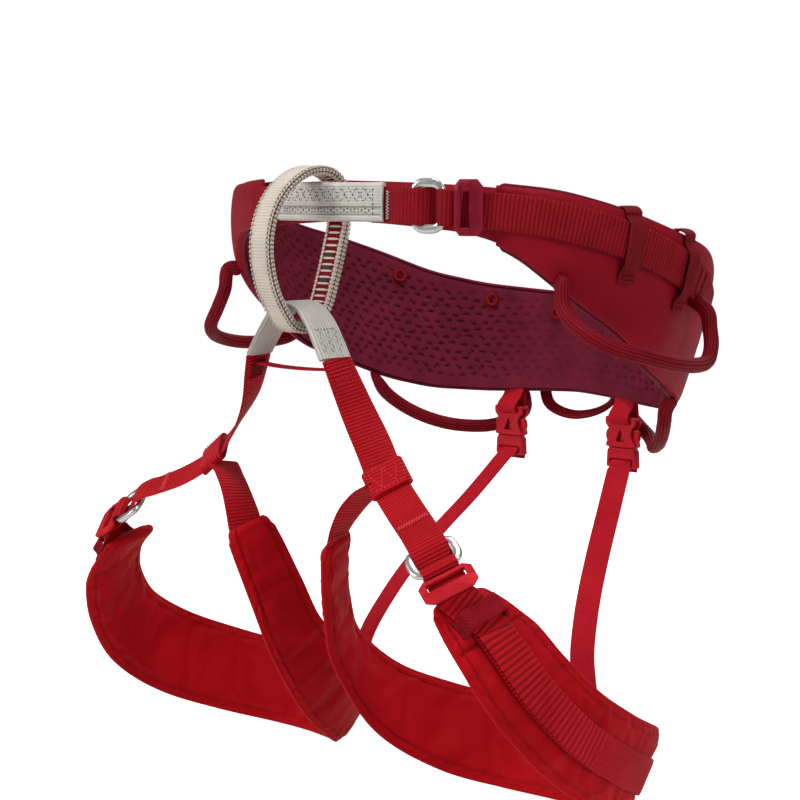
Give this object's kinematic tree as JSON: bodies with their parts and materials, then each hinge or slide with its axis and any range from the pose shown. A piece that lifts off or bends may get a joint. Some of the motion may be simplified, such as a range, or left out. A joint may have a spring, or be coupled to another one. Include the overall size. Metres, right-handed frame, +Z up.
{
  "type": "climbing harness",
  "caption": "Sport climbing harness: padded waist belt, padded leg loops with quick-adjust buckles, belay loop, tie-in points, gear loops and rear elastic straps with side-release clips.",
  "frame": {"origin": "centre of the waist opening, about 45 mm below the top of the belt's front", "axes": "+X to the wearer's left, +Y to the wearer's back, +Z up"},
  "size_m": [0.363, 0.2821, 0.3377],
  "materials": {
    "shell_fabric": "satin",
    "lining_mesh": "matt",
    "waist_webbing": "woven, slight sheen",
    "leg_webbing": "woven, slight sheen",
    "keeper_elastic": "knitted elastic",
    "tie_in_fabric": "woven, matt",
    "belay_webbing": "tubular webbing, matt",
    "buckle_plate": "anodised",
    "buckle_steel": "polished",
    "leg_fabric": "satin",
    "clip_plastic": "semi gloss",
    "elastic_strap": "elastic, matt",
    "gear_loop_tube": "ribbed sheath",
    "haul_webbing": "woven",
    "eyelet_thread": "embroidered"
  },
  "bodies": {
    "root": {"belt_shell": "shell_fabric", "belt_lining": "lining_mesh", "front_strip": "shell_fabric", "waist_web_right": "waist_webbing", "waist_web_front": "waist_webbing", "waist_web_base": "waist_webbing", "waist_tail": "waist_webbing", "keeper_front": "keeper_elastic", "keeper_side": "keeper_elastic", "upper_tie_in": "tie_in_fabric", "waist_plate": "buckle_plate", "lower_tie_in": "tie_in_fabric", "leg_bridge": "elastic_strap", "riser_left": "leg_webbing", "riser_right": "leg_webbing", "junction_left": "leg_webbing", "junction_right": "leg_webbing", "inner_strap_left": "leg_webbing", "inner_strap_right": "leg_webbing", "leg_plate_left": "buckle_plate", "leg_plate_right": "buckle_plate", "leg_pad_left": "leg_fabric", "leg_pad_right": "leg_fabric", "leg_web_left": "leg_webbing", "leg_web_right": "leg_webbing", "leg_tail_left": "leg_webbing", "leg_tail_right": "leg_webbing", "leg_keeper_left": "keeper_elastic", "leg_keeper_right": "keeper_elastic", "hanger_left": "leg_webbing", "hanger_right": "leg_webbing", "clip_socket_left": "clip_plastic", "clip_socket_right": "clip_plastic", "elastic_left": "elastic_strap", "elastic_right": "elastic_strap", "eyelet_1": "eyelet_thread", "eyelet_2": "eyelet_thread", "eyelet_3": "eyelet_thread"},
    "belay_loop": {"belay_loop": "belay_webbing"},
    "waist_frame": {"waist_frame": "buckle_steel"},
    "leg_frame_left": {"leg_frame_left": "buckle_steel"},
    "leg_frame_right": {"leg_frame_right": "buckle_steel"},
    "gear_front_left": {"gear_front_left": "gear_loop_tube"},
    "gear_front_right": {"gear_front_right": "gear_loop_tube"},
    "gear_rear_left": {"gear_rear_left": "gear_loop_tube"},
    "gear_rear_right": {"gear_rear_right": "gear_loop_tube"},
    "haul_loop": {"haul_loop": "haul_webbing"},
    "clip_plug_left": {"clip_plug_left": "clip_plastic"},
    "clip_plug_right": {"clip_plug_right": "clip_plastic"},
    "clip_arm_left_out": {"clip_arm_left_out": "clip_plastic"},
    "clip_arm_left_in": {"clip_arm_left_in": "clip_plastic"},
    "clip_arm_right_out": {"clip_arm_right_out": "clip_plastic"},
    "clip_arm_right_in": {"clip_arm_right_in": "clip_plastic"}
  },
  "joints": [
    {"name": "belay_swing", "type": "hinge", "parent": "root", "child": "belay_loop", "pos_m": [0, -0.116, 0.044], "axis": [0, 0.2357, 0.9718], "range_deg": [-10, 10]},
    {"name": "waist_buckle_slide", "type": "slide", "parent": "root", "child": "waist_frame", "axis": [-0.9247, -0.3806, 0], "range_m": [0, 0.0025]},
    {"name": "leg_buckle_slide_left", "type": "slide", "parent": "root", "child": "leg_frame_left", "axis": [-0.8003, 0.2801, 0.5302], "range_m": [0, 0.0025]},
    {"name": "leg_buckle_slide_right", "type": "slide", "parent": "root", "child": "leg_frame_right", "axis": [0.8003, 0.2801, 0.5302], "range_m": [0, 0.0025]},
    {"name": "gear_front_left_lift", "type": "hinge", "parent": "root", "child": "gear_front_left", "pos_m": [0.1289, -0.068, 0.003], "axis": [-0.2659, -0.9481, 0.1744], "range_deg": [-6, 45], "stiffness_Nm_per_rad": 0.1},
    {"name": "gear_front_right_lift", "type": "hinge", "parent": "root", "child": "gear_front_right", "pos_m": [-0.1289, -0.068, 0.003], "axis": [-0.2659, 0.9481, -0.1744], "range_deg": [0, 55], "stiffness_Nm_per_rad": 0.1},
    {"name": "gear_rear_left_lift", "type": "hinge", "parent": "root", "child": "gear_rear_left", "pos_m": [0.112, 0.0395, -0.07], "axis": [0.7768, -0.6204, 0.1079], "range_deg": [0, 40], "stiffness_Nm_per_rad": 0.06},
    {"name": "gear_rear_right_lift", "type": "hinge", "parent": "root", "child": "gear_rear_right", "pos_m": [-0.112, 0.0395, -0.07], "axis": [0.7768, 0.6204, -0.1079], "range_deg": [0, 40], "stiffness_Nm_per_rad": 0.06},
    {"name": "haul_loop_lift", "type": "hinge", "parent": "root", "child": "haul_loop", "pos_m": [-0.031, 0.1075, -0.064], "axis": [0.9996, 0.0278, 0], "range_deg": [0, 50], "stiffness_Nm_per_rad": 0.01},
    {"name": "clip_release_left", "type": "slide", "parent": "root", "child": "clip_plug_left", "axis": [0, 0, -1], "range_m": [0, 0.02], "deforming": ["elastic_left"]},
    {"name": "clip_release_right", "type": "slide", "parent": "root", "child": "clip_plug_right", "axis": [0, 0, -1], "range_m": [0, 0.02], "deforming": ["elastic_right"]},
    {"name": "clip_squeeze_left_out", "type": "hinge", "parent": "clip_plug_left", "child": "clip_arm_left_out", "pos_m": [0.052, 0.088, -0.1028], "axis": [0, -1, 0], "range_deg": [0, 8], "stiffness_Nm_per_rad": 0.02},
    {"name": "clip_squeeze_left_in", "type": "hinge", "parent": "clip_plug_left", "child": "clip_arm_left_in", "pos_m": [0.036, 0.088, -0.1028], "axis": [0, 1, 0], "range_deg": [0, 8], "stiffness_Nm_per_rad": 0.02},
    {"name": "clip_squeeze_right_out", "type": "hinge", "parent": "clip_plug_right", "child": "clip_arm_right_out", "pos_m": [-0.052, 0.088, -0.1028], "axis": [0, 1, 0], "range_deg": [0, 8], "stiffness_Nm_per_rad": 0.02},
    {"name": "clip_squeeze_right_in", "type": "hinge", "parent": "clip_plug_right", "child": "clip_arm_right_in", "pos_m": [-0.036, 0.088, -0.1028], "axis": [0, -1, 0], "range_deg": [0, 8], "stiffness_Nm_per_rad": 0.02}
  ]
}
